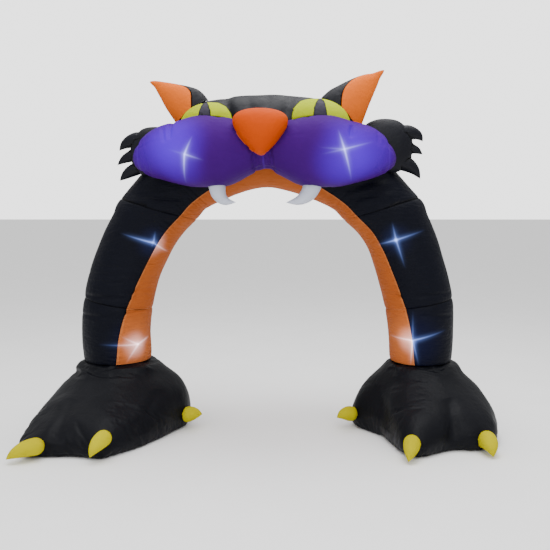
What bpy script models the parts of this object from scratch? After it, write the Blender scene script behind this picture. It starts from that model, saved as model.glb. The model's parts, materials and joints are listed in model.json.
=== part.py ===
"""Inflatable archway in the form of a black cat, 2.4 m tall, with a gap to walk through.

Every blown-up form is one closed solid, and a piece that leans on another is cut to fit it.
X runs across the gap, -Y is the side of the face and Z is up. All sizes are in metres.
"""

from collections import namedtuple
from math import cos, pi, radians, sin, tan

import bmesh
import bpy
from mathutils import Matrix, Vector

# ---- Gaps between sewn pieces, and the fineness of the meshes --------------------------
GAP = 0.0003
CUT_GAP = 0.0005
SEAM_DRAW = 0.008
SEAM_REACH = 0.022
RINGS_PER_SECTION = 3
OUTER_STEPS = 21
INNER_STEPS = 8

# ---- Cloths: colour as sRGB hex, and roughness ------------------------------------------
Cloth = namedtuple("Cloth", "colour roughness")
CLOTHS = {
    "black_taffeta": Cloth("17181d", 0.45),
    "orange_taffeta": Cloth("c8682c", 0.50),
    "purple_taffeta": Cloth("5a3fb2", 0.42),
    "nose_orange_taffeta": Cloth("c9561c", 0.50),
    "lime_taffeta": Cloth("bfc858", 0.50),
    "grey_taffeta": Cloth("37343f", 0.50),
    "white_taffeta": Cloth("c9cbce", 0.50),
    "yellow_taffeta": Cloth("d5c62a", 0.50),
}

# ---- Arch tube --------------------------------------------------------------------------
# One row for each section of the centre line, from the left foot over the crown to the right.
# strip is the half angle of the inner panel, in degrees from the side that faces the gap, and
# skew leans the section's inner side along the tube, towards the right foot.
Section = namedtuple("Section", "place x z radius strip skew")
SECTIONS = (
    Section("left ankle", -1.056, 0.462, 0.232, 78, 0),
    Section("left shin", -1.063, 0.660, 0.234, 70, 0),
    Section("left knee seam", -1.042, 0.860, 0.236, 61, 0),
    Section("left thigh", -0.978, 1.100, 0.232, 51, 0),
    Section("left hip", -0.868, 1.335, 0.234, 47, 0),
    Section("left upper seam", -0.750, 1.500, 0.240, 46, 27),
    Section("left shoulder", -0.500, 1.730, 0.236, 47, 0),
    Section("crown", -0.010, 1.871, 0.230, 64, 0),
    Section("right shoulder", 0.500, 1.730, 0.236, 47, 0),
    Section("right upper seam", 0.765, 1.500, 0.240, 46, -27),
    Section("right hip", 0.882, 1.335, 0.232, 47, 0),
    Section("right thigh", 0.966, 1.100, 0.234, 53, 0),
    Section("right knee seam", 1.026, 0.860, 0.234, 60, 0),
    Section("right shin", 1.044, 0.660, 0.223, 66, 0),
    Section("right ankle", 1.046, 0.462, 0.214, 71, 0),
)
ANKLE_Z = SECTIONS[0].z

# Each length of tube has an outer and an inner panel, from one section's row to another.
Panel = namedtuple("Panel", "outer inner first last")
PANELS = (
    Panel("leg_lower_left", "strip_lower_left", 0, 2),
    Panel("leg_upper_left", "strip_upper_left", 2, 5),
    Panel("crown", "soffit", 5, 9),
    Panel("leg_upper_right", "strip_upper_right", 9, 12),
    Panel("leg_lower_right", "strip_lower_right", 12, 14),
)

# ---- Head, eyes and pupils --------------------------------------------------------------
HEAD_CENTRE = Vector((0.0, -0.10, 2.0))
HEAD_HALF = Vector((0.61, 0.27, 0.243))
HEAD_BELOW = 0.14
HEAD_SQUARENESS = 2.4

Eye = namedtuple("Eye", "side x z half_width half_height slit_x slit_half_width")
EYES = (
    Eye("left", -0.340, 2.020, 0.206, 0.150, -0.372, 0.042),
    Eye("right", 0.315, 2.030, 0.222, 0.162, 0.345, 0.045),
)
EYE_Y = -0.265
EYE_DEPTH = 0.135
# The slit is cut out of a shell over the eye's front by an upright oval prism.
PUPIL_THICKNESS = 0.006
SLIT_HEIGHT_SHARE = 0.96
SLIT_PRISM_DEPTH = 0.2

# ---- Muzzle and nose --------------------------------------------------------------------
# The right lobe from the middle outwards. The left one mirrors it.
Lobe = namedtuple("Lobe", "x top bottom half_depth")
LOBES = (
    Lobe(0.000, 2.000, 1.738, 0.160),
    Lobe(0.060, 2.010, 1.727, 0.175),
    Lobe(0.130, 2.032, 1.690, 0.205),
    Lobe(0.220, 2.052, 1.645, 0.235),
    Lobe(0.330, 2.066, 1.631, 0.252),
    Lobe(0.440, 2.058, 1.634, 0.255),
    Lobe(0.550, 2.024, 1.656, 0.245),
    Lobe(0.650, 1.996, 1.682, 0.220),
    Lobe(0.730, 1.944, 1.708, 0.178),
    Lobe(0.785, 1.878, 1.734, 0.125),
    Lobe(0.812, 1.826, 1.762, 0.060),
)
MUZZLE_Y = -0.380
MUZZLE_END = Vector((0.820, MUZZLE_Y, 1.792))
MUZZLE_STEPS = 20
MUZZLE_SQUARENESS = 2.2

NOSE_CENTRE = Vector((-0.012, -0.560, 1.950))
NOSE_HALF = Vector((0.168, 0.115, 0.138))
# The nose's width against a plain ball's: at its middle, and how much wider at its top.
NOSE_WAIST = 0.87
NOSE_SPREAD = 0.48

# ---- Horns: a bent cone from a root past a bend to a tip ---------------------------------
# A greater blunt keeps the horn thick for longer.
Horn = namedtuple("Horn", "root bend tip radius blunt")
HORN_LAST_RING = 0.97
HORN_FULLNESS = 1.15
STEEP_HORN = 0.9
FANGS = {
    "left": Horn((-0.296, -0.40, 1.680), (-0.306, -0.41, 1.525), (-0.176, -0.42, 1.537), 0.056, 1.7),
    "right": Horn((0.304, -0.40, 1.680), (0.288, -0.41, 1.535), (0.134, -0.42, 1.535), 0.060, 1.7),
}
CLAWS = {
    "outer_left": Horn((-1.349, -0.735, 0.083), (-1.430, -0.800, 0.088), (-1.495, -0.810, 0.030), 0.053, 2.0),
    "middle_left": Horn((-0.943, -0.73, 0.134), (-0.975, -0.80, 0.115), (-1.000, -0.81, 0.045), 0.050, 2.0),
    "inner_left": Horn((-0.552, -0.132, 0.103), (-0.500, -0.135, 0.118), (-0.450, -0.140, 0.106), 0.053, 2.0),
    "inner_right": Horn((0.560, -0.100, 0.106), (0.510, -0.120, 0.116), (0.466, -0.130, 0.086), 0.051, 2.0),
    "middle_right": Horn((0.896, -0.670, 0.096), (0.878, -0.755, 0.088), (0.861, -0.775, 0.020), 0.052, 2.0),
    "outer_right": Horn((1.372, -0.555, 0.082), (1.380, -0.645, 0.080), (1.382, -0.665, 0.014), 0.056, 2.0),
}
# A claw's root is round: its rings shrink backwards at these angles from the widest one.
ROOT_TURNS = (72, 48, 24)

# ---- Cheek tufts: a flat pad with three spikes -------------------------------------------
TUFT_Y = -0.115
TUFT_DEPTH = 0.080
SPIKE_FLATNESS = 0.9
Tuft = namedtuple("Tuft", "centre half spikes")
TUFTS = {
    "left": Tuft((-0.745, TUFT_Y, 1.868), (0.165, TUFT_DEPTH, 0.172), (
        Horn((-0.770, TUFT_Y, 1.950), (-0.930, TUFT_Y, 1.970), (-0.984, TUFT_Y, 1.880), 0.060, 2.0),
        Horn((-0.800, TUFT_Y, 1.862), (-0.926, TUFT_Y, 1.864), (-1.000, TUFT_Y, 1.785), 0.050, 2.0),
        Horn((-0.800, TUFT_Y, 1.785), (-0.920, TUFT_Y, 1.760), (-0.984, TUFT_Y, 1.684), 0.048, 2.6),
    )),
    "right": Tuft((0.772, TUFT_Y, 1.905), (0.185, TUFT_DEPTH, 0.182), (
        Horn((0.820, TUFT_Y, 1.985), (0.990, TUFT_Y, 2.020), (1.020, TUFT_Y, 1.936), 0.058, 2.0),
        Horn((0.830, TUFT_Y, 1.895), (0.960, TUFT_Y, 1.915), (1.022, TUFT_Y, 1.852), 0.048, 2.0),
        Horn((0.820, TUFT_Y, 1.820), (0.965, TUFT_Y, 1.800), (1.008, TUFT_Y, 1.692), 0.060, 2.0),
    )),
}

# ---- Ears: one row for each section from the root to near the tip ------------------------
# The front panel runs from the angle front_seam round the front to BACK_SEAM, in degrees from
# the inner edge.
EarRow = namedtuple("EarRow", "outer_x outer_z inner_x inner_z half_depth front_seam")
Ear = namedtuple("Ear", "rows tip")
EARS = {
    "left": Ear((
        EarRow(-0.530, 1.955, -0.330, 2.115, 0.085, 96),
        EarRow(-0.600, 2.060, -0.378, 2.202, 0.080, 84),
        EarRow(-0.656, 2.145, -0.446, 2.272, 0.066, 52),
        EarRow(-0.705, 2.236, -0.570, 2.306, 0.042, 16),
        EarRow(-0.738, 2.290, -0.670, 2.322, 0.022, 8),
    ), (-0.762, 2.326)),
    "right": Ear((
        EarRow(0.590, 1.960, 0.320, 2.120, 0.090, 96),
        EarRow(0.630, 2.075, 0.356, 2.222, 0.084, 84),
        EarRow(0.672, 2.185, 0.462, 2.293, 0.068, 52),
        EarRow(0.715, 2.285, 0.600, 2.354, 0.042, 14),
        EarRow(0.738, 2.342, 0.690, 2.373, 0.020, 8),
    ), (0.760, 2.392)),
}
EAR_Y = -0.155
EAR_STEPS = 8
EAR_ROWS_BETWEEN = 2
BACK_SEAM = 192

# ---- Paws -------------------------------------------------------------------------------
# How far the paw reaches from the leg's axis. angle is in degrees from the front, positive
# towards the gap, so the toes stand at the peaks.
Reach = namedtuple("Reach", "angle reach")
PAWS = {
    "left": (
        Reach(-150, 0.37), Reach(-120, 0.40), Reach(-90, 0.42), Reach(-60, 0.53), Reach(-42, 0.71),
        Reach(-29, 0.82), Reach(-16, 0.76), Reach(-4, 0.73), Reach(7, 0.76), Reach(20, 0.66),
        Reach(40, 0.55), Reach(62, 0.50), Reach(82, 0.51), Reach(110, 0.45), Reach(145, 0.40),
        Reach(180, 0.37),
    ),
    "right": (
        Reach(-150, 0.37), Reach(-120, 0.41), Reach(-90, 0.45), Reach(-60, 0.54), Reach(-40, 0.62),
        Reach(-28, 0.63), Reach(-12, 0.58), Reach(0, 0.64), Reach(12, 0.71), Reach(24, 0.58),
        Reach(42, 0.44), Reach(62, 0.42), Reach(84, 0.48), Reach(110, 0.43), Reach(145, 0.38),
        Reach(180, 0.36),
    ),
}
# Share of the height, and the share of the reach beyond the leg that the paw has there, on its
# long toes and on its short, steep sides.
Profile = namedtuple("Profile", "height toe side")
PAW_PROFILE = (
    Profile(0.00, 0.95, 0.93), Profile(0.07, 1.00, 0.98), Profile(0.20, 0.97, 1.00),
    Profile(0.34, 0.87, 0.95), Profile(0.47, 0.71, 0.86), Profile(0.60, 0.48, 0.72),
    Profile(0.74, 0.25, 0.50), Profile(0.88, 0.09, 0.24), Profile(1.00, 0.02, 0.02),
)
SIDE_REACH, TOE_REACH = 0.48, 0.72
# How far the paw's upper half bulges towards the gap.
PAW_BULGE = {"left": 0.050, "right": 0.0}
PAW_STEPS = 40


# ---- Small tools -------------------------------------------------------------------------
def catmull(before, start, end, after, share):
    """A point on the smooth curve through start and end, share of the way between them."""
    return 0.5 * (
        2 * start
        + (end - before) * share
        + (2 * before - 5 * start + 4 * end - after) * share**2
        + (3 * start - before - 3 * end + after) * share**3
    )


def along(values, place):
    """The smooth value at a place such as 2.5, half way between the rows 2 and 3."""
    row = min(max(int(place), 0), len(values) - 2)
    first, last = values[row], values[row + 1]
    before = values[row - 1] if row else 2 * first - last
    after = values[row + 2] if row + 2 < len(values) else 2 * last - first
    return catmull(before, first, last, after, place - row)


def superellipse(angle, half_a, half_b, squareness):
    """A point on an ellipse that grows squarer as squareness rises over 2."""
    a, b = cos(angle), sin(angle)
    size = (abs(a) ** squareness + abs(b) ** squareness) ** (-1 / squareness)
    return half_a * a * size, half_b * b * size


def taffeta(name):
    """The Principled material of one cloth, made on first use."""
    if name in bpy.data.materials:
        return bpy.data.materials[name]
    cloth = CLOTHS[name]
    linear = [(int(cloth.colour[i : i + 2], 16) / 255) ** 2.2 for i in (0, 2, 4)]
    material = bpy.data.materials.new(name)
    material.use_nodes = True
    shader = material.node_tree.nodes["Principled BSDF"]
    shader.inputs["Base Color"].default_value = (*linear, 1)
    shader.inputs["Roughness"].default_value = cloth.roughness
    shader.inputs["Metallic"].default_value = 0
    material.diffuse_color = (*linear, 1)
    return material


def add_object(name, bm, cloth=None, place=(0, 0, 0)):
    """Turns a bmesh into an object at its place. Without a cloth it is a cutter.

    Squares are split along the shorter diagonal, so a piece and a cutter on the same points fit."""
    bmesh.ops.triangulate(bm, faces=bm.faces, quad_method="SHORT_EDGE")
    bmesh.ops.recalc_face_normals(bm, faces=bm.faces)
    mesh = bpy.data.meshes.new(name)
    bm.to_mesh(mesh)
    bm.free()
    mesh.shade_smooth()
    obj = bpy.data.objects.new(name, mesh)
    obj.location = place
    obj.parent = ROOT
    bpy.context.scene.collection.objects.link(obj)
    if cloth:
        mesh.materials.append(taffeta(cloth))
    else:
        obj.hide_render = True
        obj.display_type = "WIRE"
    return obj


def grown(obj, growth=CUT_GAP):
    """A cutter: a copy of the piece, grown by a little so that what it cuts keeps a gap."""
    bm = bmesh.new()
    bm.from_mesh(obj.data)
    bm.normal_update()
    for vert in bm.verts:
        vert.co += vert.normal * growth
    return add_object(obj.name + "_cutter", bm, place=obj.location)


def boolean(obj, other, operation="DIFFERENCE"):
    modifier = obj.modifiers.new(operation.lower() + "_" + other.name, "BOOLEAN")
    modifier.object = other
    modifier.operation = operation


def loft(rings, tip=None):
    """A closed bmesh through rings of points: the first ring's face is extruded to each next one."""
    bm = bmesh.new()
    first = face = bm.faces.new([bm.verts.new(point) for point in rings[0]])
    for ring in rings[1:]:
        made = bmesh.ops.extrude_face_region(bm, geom=[face])["geom"]
        if face is not first:
            bmesh.ops.delete(bm, geom=[face], context="FACES_ONLY")
        face = next(item for item in made if isinstance(item, bmesh.types.BMFace))
        for vert, point in zip(face.verts, ring):
            vert.co = point
    if tip is not None:
        bmesh.ops.poke(bm, faces=[face])["verts"][0].co = tip
    return bm


# ---- Arch tube --------------------------------------------------------------------------
def tube_frame(place):
    """Centre, direction, inward direction, radius, strip angle and lean of the tube at a place."""
    points = [Vector((s.x, 0, s.z)) for s in SECTIONS]
    # Extra rows beyond the ankles keep the tube upright where it stands on the paws.
    below_left = Vector((points[1].x, 0, 2 * points[0].z - points[1].z))
    below_right = Vector((points[-2].x, 0, 2 * points[-1].z - points[-2].z))
    points = [below_left, *points, below_right]
    centre = along(points, place + 1)
    step = 0.01
    direction = (along(points, place + 1 + step) - along(points, place + 1 - step)).normalized()
    inward = Vector((direction.z, 0, -direction.x))
    radius = along([s.radius for s in SECTIONS], place)
    strip = radians(along([s.strip for s in SECTIONS], place))
    lean = tan(radians(along([s.skew for s in SECTIONS], place)))
    return centre, direction, inward, radius, strip, lean


def panel_places(panel):
    """(place along the tube, how far the cloth is drawn in there) for each ring of a panel."""
    count = (panel.last - panel.first) * RINGS_PER_SECTION
    # How far along the table one metre of tube is, read from a short stretch in the panel.
    stretch = 0.01
    middle = (panel.first + panel.last) / 2
    metre = stretch / (tube_frame(middle + stretch)[0] - tube_frame(middle)[0]).length
    near = SEAM_REACH * metre
    inner = [panel.first + (panel.last - panel.first) * i / count for i in range(1, count)]
    ends = [(panel.first + GAP / 2 * metre, SEAM_DRAW), (panel.first + near, SEAM_DRAW / 5)]
    far_ends = [(panel.last - near, SEAM_DRAW / 5), (panel.last - GAP / 2 * metre, SEAM_DRAW)]
    return ends + [(place, 0) for place in inner] + far_ends


def arc_ring(place, draw, start, end, steps, shift=0.0, grow=0.0):
    """Points of the tube's section from one multiple of the strip's angle to another."""
    centre, direction, inward, radius, strip, lean = tube_frame(place)
    low = strip if start > 0 else -strip
    high = 2 * pi - strip if end > 1 else strip
    points = []
    for i in range(steps + 1):
        angle = low + (high - low) * i / steps
        out = (inward + direction * lean) * cos(angle) + Vector((0, -1, 0)) * sin(angle)
        points.append(centre + inward * shift + out * (radius - draw + grow))
    return points


def outer_ring(place, draw, grow=0.0):
    return arc_ring(place, draw, 1, 2, OUTER_STEPS, grow=grow)


def inner_ring(place, draw, grow=0.0):
    return arc_ring(place, draw, -1, 1, INNER_STEPS, shift=GAP, grow=grow)


def make_arch():
    """The tube's panels, and a cutter of the whole tube with the same facets."""
    whole = []
    for panel in PANELS:
        places = panel_places(panel)
        add_object(panel.outer, loft([outer_ring(*p) for p in places]), "black_taffeta")
        add_object(panel.inner, loft([inner_ring(*p) for p in places]), "orange_taffeta")
        whole += [outer_ring(*p, grow=CUT_GAP)[:-1] + inner_ring(*p, grow=CUT_GAP)[:-1] for p in places]
    return add_object("arch_cutter", loft(whole))


# ---- Head and face ----------------------------------------------------------------------
def ball(half, steps_round=28, steps_along=14, squareness=2.0, below=None):
    """A sphere pushed out towards a box, with its poles at +-X. below is its half height under the middle."""
    bm = bmesh.new()
    bmesh.ops.create_uvsphere(bm, u_segments=steps_round, v_segments=steps_along, radius=1)
    bmesh.ops.rotate(bm, matrix=Matrix.Rotation(pi / 2, 3, "Y"), verts=bm.verts)
    for vert in bm.verts:
        size = sum(abs(c) ** squareness for c in vert.co) ** (-1 / squareness)
        height = below if below and vert.co.z < 0 else half[2]
        vert.co = Vector((vert.co.x * half[0], vert.co.y * half[1], vert.co.z * height)) * size
    return bm


def make_head(arch_cutter):
    bm = ball(HEAD_HALF, squareness=HEAD_SQUARENESS, below=HEAD_BELOW)
    head = add_object("head", bm, "black_taffeta", HEAD_CENTRE)
    head_cutter = grown(head)
    boolean(head, arch_cutter)
    return head_cutter


def make_muzzle(*cutters):
    """One bag with two lobes, narrow and shallow in the middle."""
    rings = []
    rows = [Lobe(-row.x, *row[1:]) for row in reversed(LOBES[1:])] + list(LOBES)
    columns = list(zip(*rows))
    count = 2 * (len(rows) - 1)
    for i in range(count + 1):
        x, top, bottom, half_depth = (along(column, i / 2) for column in columns)
        half_height = (top - bottom) / 2
        ring = []
        for step in range(MUZZLE_STEPS):
            turn = 2 * pi * step / MUZZLE_STEPS
            y, z = superellipse(turn, half_depth, half_height, MUZZLE_SQUARENESS)
            ring.append((x, MUZZLE_Y + y, bottom + half_height + z))
        rings.append(ring)
    bm = loft(rings, tip=MUZZLE_END)
    left_cap = max(bm.faces, key=lambda face: len(face.verts))
    bmesh.ops.poke(bm, faces=[left_cap])["verts"][0].co = MUZZLE_END - Vector((2 * MUZZLE_END.x, 0, 0))
    muzzle = add_object("muzzle", bm, "purple_taffeta")
    muzzle_cutter = grown(muzzle)
    for cutter in cutters:
        boolean(muzzle, cutter)
    return muzzle_cutter


def make_nose(muzzle_cutter):
    """A shield-shaped pad: a flat ball, wide and flat on top, that narrows to its lower end."""
    bm = ball(NOSE_HALF, 24, 16, squareness=2.2)
    for vert in bm.verts:
        vert.co.x *= NOSE_WAIST + NOSE_SPREAD * vert.co.z / NOSE_HALF.z
    nose = add_object("nose", bm, "nose_orange_taffeta", NOSE_CENTRE)
    boolean(nose, muzzle_cutter)


def make_eye(eye, head_cutter, muzzle_cutter):
    """A dome on the head, with a slit pupil lying on it."""
    place = Vector((eye.x, EYE_Y, eye.z))
    half = Vector((eye.half_width, EYE_DEPTH, eye.half_height))
    dome = add_object("eye_" + eye.side, ball(half, 24, 14), "lime_taffeta", place)
    under_pupil = grown(dome)
    shell = ball(half + Vector([PUPIL_THICKNESS] * 3), 24, 14)
    over_pupil = add_object("over_pupil_" + eye.side, shell, place=place)
    boolean(dome, head_cutter)
    boolean(dome, muzzle_cutter)

    bm = bmesh.new()
    bmesh.ops.create_cone(
        bm, cap_ends=True, segments=20, radius1=1, radius2=1, depth=1, matrix=Matrix.Rotation(pi / 2, 4, "X")
    )
    slit = Vector((eye.slit_half_width, SLIT_PRISM_DEPTH, eye.half_height * SLIT_HEIGHT_SHARE))
    bmesh.ops.scale(bm, vec=slit, verts=bm.verts)
    slit_place = Vector((eye.slit_x, EYE_Y - SLIT_PRISM_DEPTH * 0.6, eye.z))
    pupil = add_object("pupil_" + eye.side, bm, "grey_taffeta", slit_place)
    boolean(pupil, over_pupil, "INTERSECT")
    for cutter in (under_pupil, muzzle_cutter):
        boolean(pupil, cutter)
    return under_pupil


# ---- Horns, claws and tufts ---------------------------------------------------------------
def horn_ring(centre, direction, across, radius, flat, steps=12):
    """Points round a horn's centre line. flat under 1 makes the ring thinner along Y."""
    side = direction.cross(across).normalized()
    up = side.cross(direction)
    ring = []
    for step in range(steps):
        angle = 2 * pi * step / steps
        out = (side * cos(angle) + up * sin(angle)) * radius
        ring.append(centre + Vector((out.x, out.y * flat, out.z)))
    return ring


def horn_mesh(horn, flat=1.0, round_root=False, rings=7):
    """A bent cone round a quadratic curve."""
    root, bend, tip = Vector(horn.root), Vector(horn.bend), Vector(horn.tip)
    start = (bend - root).normalized()
    # One direction for the whole horn, so that its rings don't twist.
    across = Vector((0, 0, 1)) if abs(start.z) < STEEP_HORN else Vector((0, 1, 0))
    sections = []
    for turn in ROOT_TURNS if round_root else ():
        behind = root - start * horn.radius * sin(radians(turn))
        sections.append(horn_ring(behind, start, across, horn.radius * cos(radians(turn)), flat))
    for i in range(rings):
        t = HORN_LAST_RING * i / (rings - 1)
        centre = root * (1 - t) ** 2 + bend * 2 * t * (1 - t) + tip * t**2
        direction = ((bend - root) * (1 - t) + (tip - bend) * t).normalized()
        radius = horn.radius * (1 - t**horn.blunt) ** (1 / HORN_FULLNESS)
        sections.append(horn_ring(centre, direction, across, radius, flat))
    return loft(sections, tip=tip)


def make_tuft(side, tuft, cutters):
    """The pad and its spikes, united, then cut by what they are sewn on."""
    pad = add_object("tuft_" + side, ball(tuft.half, 20, 12, squareness=2.3), "black_taffeta", tuft.centre)
    for number, spike in enumerate(tuft.spikes):
        boolean(pad, add_object(f"spike_{side}_{number}", horn_mesh(spike, flat=SPIKE_FLATNESS)), "UNION")
    for cutter in cutters:
        boolean(pad, cutter)


def ear_panel(ear, front):
    """Half of a bent, flat horn: each section is a wedge from its middle out to one panel's arc."""
    columns = list(zip(*ear.rows))
    count = (len(ear.rows) - 1) * EAR_ROWS_BETWEEN
    tip = Vector((ear.tip[0], EAR_Y, ear.tip[1]))
    rings = []
    for i in range(count + 1):
        values = (along(column, i / EAR_ROWS_BETWEEN) for column in columns)
        outer_x, outer_z, inner_x, inner_z, half_depth, front_seam = values
        middle = Vector(((outer_x + inner_x) / 2, EAR_Y, (outer_z + inner_z) / 2))
        half = Vector((inner_x - outer_x, 0, inner_z - outer_z)) / 2
        start, end = (front_seam, BACK_SEAM) if front else (BACK_SEAM, 360 + front_seam)
        turns = [radians(start + (end - start) * step / EAR_STEPS) for step in range(EAR_STEPS + 1)]
        arc = [middle + half * cos(turn) - Vector((0, half_depth * sin(turn), 0)) for turn in turns]
        # The front panel stands off the back one, towards the middle of its own arc.
        away = arc[EAR_STEPS // 2] - middle
        shift = away.normalized() * CUT_GAP if front else Vector()
        rings.append([point + shift for point in arc + [middle]])
    return loft(rings, tip=tip + shift)


def make_ear(side, ear, cutters):
    for panel, cloth in (("front", "orange_taffeta"), ("back", "black_taffeta")):
        piece = add_object(f"ear_{panel}_{side}", ear_panel(ear, panel == "front"), cloth)
        for cutter in cutters:
            boolean(piece, cutter)


# ---- Paws ---------------------------------------------------------------------------------
def reach_at(rows, degrees):
    """The paw's reach in one direction, smooth all the way round."""
    angles = [rows[-2].angle - 360, rows[-1].angle - 360] + [r.angle for r in rows] + [rows[0].angle + 360]
    reaches = [rows[-2].reach, rows[-1].reach] + [r.reach for r in rows] + [rows[0].reach]
    row = max(i for i, angle in enumerate(angles[:-1]) if angle <= degrees)
    share = (degrees - angles[row]) / (angles[row + 1] - angles[row])
    return along(reaches, row + share)


def make_paw(side, ankle):
    """A flat-bottomed bag: outlines at rising heights shrink from the toes' reach to the leg."""
    inwards = 1 if ankle.x < 0 else -1
    rings = []
    for profile in PAW_PROFILE:
        bulge = PAW_BULGE[side] * sin(pi * profile.height**2)
        ring = []
        for step in range(PAW_STEPS):
            degrees = 360 * step / PAW_STEPS - 180
            full = reach_at(PAWS[side], degrees)
            toe = min(max((full - SIDE_REACH) / (TOE_REACH - SIDE_REACH), 0), 1)
            spread = profile.side + (profile.toe - profile.side) * toe
            reach = ankle.radius + (full - ankle.radius) * spread
            turn = radians(degrees)
            across = inwards * (reach * sin(turn) + bulge * max(0, sin(turn)))
            ring.append((across, -reach * cos(turn), profile.height * (ANKLE_Z - GAP)))
        rings.append(ring)
    paw = add_object("paw_" + side, loft(rings), "black_taffeta", Vector((ankle.x, 0, 0)))
    paw_cutter = grown(paw)
    for name, horn in CLAWS.items():
        if name.endswith(side):
            claw = add_object("claw_" + name, horn_mesh(horn, round_root=True), "yellow_taffeta")
            boolean(claw, paw_cutter)


def stand_on_origin():
    """Moves the empty that carries everything, so that the origin is under the middle of the box."""
    bpy.context.view_layer.update()
    graph = bpy.context.evaluated_depsgraph_get()
    corners = []
    for obj in bpy.data.objects:
        if obj.type == "MESH" and not obj.hide_render:
            whole = obj.evaluated_get(graph)
            corners += [whole.matrix_world @ Vector(corner) for corner in whole.bound_box]
    for axis in (0, 1):
        values = [corner[axis] for corner in corners]
        ROOT.location[axis] = -(min(values) + max(values)) / 2


def main():
    arch_cutter = make_arch()
    head_cutter = make_head(arch_cutter)
    muzzle_cutter = make_muzzle(arch_cutter, head_cutter)
    make_nose(muzzle_cutter)
    for eye in EYES:
        eye_cutter = make_eye(eye, head_cutter, muzzle_cutter)
        make_ear(eye.side, EARS[eye.side], (head_cutter, arch_cutter, eye_cutter))
    for side, horn in FANGS.items():
        boolean(add_object("fang_" + side, horn_mesh(horn), "white_taffeta"), muzzle_cutter)
    for side, tuft in TUFTS.items():
        make_tuft(side, tuft, (arch_cutter, head_cutter, muzzle_cutter))
    make_paw("left", SECTIONS[0])
    make_paw("right", SECTIONS[-1])
    stand_on_origin()


for existing in list(bpy.data.objects):
    bpy.data.objects.remove(existing)
ROOT = bpy.data.objects.new("arch_origin", None)
bpy.context.scene.collection.objects.link(ROOT)
main()
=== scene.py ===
# %% [markdown]
# # An air-blown cat archway
#
# A yard inflatable is a thin cloth bag that a fan keeps full. It has no frame, so everything that
# the eye reads as an inflatable comes from how cloth behaves under a little pressure: every panel
# bulges, every seam is shorter than the cloth beside it and pulls a row of puckers, and lamps
# inside shine through as soft glows. This lesson starts from a plain solid of each panel, rounds
# it, draws its seams in, puckers it and gives it a woven, lit finish.

# %% Load the fixed model
import json
from collections import namedtuple
from math import exp, radians

import bmesh
import bpy
import numpy as np
from mathutils import Euler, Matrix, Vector, noise
from mathutils.kdtree import KDTree


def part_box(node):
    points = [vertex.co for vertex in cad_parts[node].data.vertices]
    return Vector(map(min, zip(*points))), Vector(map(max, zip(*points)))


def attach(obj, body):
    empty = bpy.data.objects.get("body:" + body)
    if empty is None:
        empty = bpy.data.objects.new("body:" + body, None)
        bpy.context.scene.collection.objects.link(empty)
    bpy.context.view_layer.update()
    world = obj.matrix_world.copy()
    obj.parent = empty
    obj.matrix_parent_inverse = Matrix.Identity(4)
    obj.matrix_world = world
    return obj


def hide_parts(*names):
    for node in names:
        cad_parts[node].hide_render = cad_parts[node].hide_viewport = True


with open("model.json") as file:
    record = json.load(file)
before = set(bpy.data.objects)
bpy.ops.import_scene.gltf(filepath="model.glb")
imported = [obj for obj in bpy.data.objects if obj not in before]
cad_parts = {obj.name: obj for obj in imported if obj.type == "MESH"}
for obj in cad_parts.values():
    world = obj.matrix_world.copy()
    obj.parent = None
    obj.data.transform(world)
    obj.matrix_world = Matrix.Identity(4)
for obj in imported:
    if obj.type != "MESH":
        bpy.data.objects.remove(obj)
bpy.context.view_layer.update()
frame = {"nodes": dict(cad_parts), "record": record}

SLOTS = {row["node"]: row["material_slot"] for row in frame["record"]["subparts"]}

# %% [markdown]
# ## One point to measure from
#
# The arch is lopsided, so the middle of its box isn't the middle of the cat. The muzzle is
# symmetrical, which gives the middle across, and the crown is a round tube, which gives the plane
# that the tube bends in. Everything below is placed from these two.

# %% The middle of the arch
muzzle_low, muzzle_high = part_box("muzzle")
crown_low, crown_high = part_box("crown")
MIDDLE = Vector(((muzzle_low.x + muzzle_high.x) / 2, (crown_low.y + crown_high.y) / 2, 0))


def at(x, y, z):
    """A place given in metres from the middle of the arch: across, in depth and from the floor."""
    return MIDDLE + Vector((x, y, z))


print("middle of the arch", [round(v, 4) for v in MIDDLE])

# %% [markdown]
# ## Camera
#
# The arch is seen by a standing person about 4.6 m in front of it, a little to the right. The lens
# looks slightly down and to the left, and a small sideways shift sets the arch in the frame
# without turning the camera, which would make the legs lean.

# %% Camera
CAMERA_PLACE = at(0.30, -4.60, 1.45)
LENS_MM, SENSOR_MM = 43.99, 36
PITCH_DOWN, YAW_LEFT = 5.0, 1.2
SIDE_SHIFT = -0.043

camera_data = bpy.data.cameras.new("camera")
camera_data.lens = LENS_MM
camera_data.sensor_width = SENSOR_MM
camera_data.shift_x = SIDE_SHIFT
camera = bpy.data.objects.new("camera", camera_data)
camera.location = CAMERA_PLACE
camera.rotation_euler = Euler((radians(90 - PITCH_DOWN), 0, radians(YAW_LEFT)))
bpy.context.scene.collection.objects.link(camera)
bpy.context.scene.camera = camera
print("camera at", [round(v, 2) for v in camera.location])

# %% [markdown]
# ## Floor and light
#
# A plain pale floor and a pale room keep the attention on the cloth. The room is bright overhead
# and dimmer at eye level, as on a cloudy day, so black cloth that faces up gets a soft sheen and
# black cloth that faces the viewer stays black. Three wide lamps give the light some direction.
# The lens sees a paler room than the cloth does, which gives a clean, pale background.

# %% Floor, lamps and sky
FLOOR_SIZE = 600
LAMPS_AIM = at(0, 0, 1.1)
EYE_LEVEL_LIGHT, OVERHEAD_LIGHT, BACKGROUND = 0.42, 1.5, 2.6
Lamp = namedtuple("Lamp", "name place size watts")
LAMPS = (
    Lamp("key", at(1.0, -5.4, 4.2), 3.0, 120),
    Lamp("fill", at(-2.6, -5.2, 3.4), 3.0, 50),
    Lamp("top", at(0.3, -0.4, 5.2), 4.0, 270),
)

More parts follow.
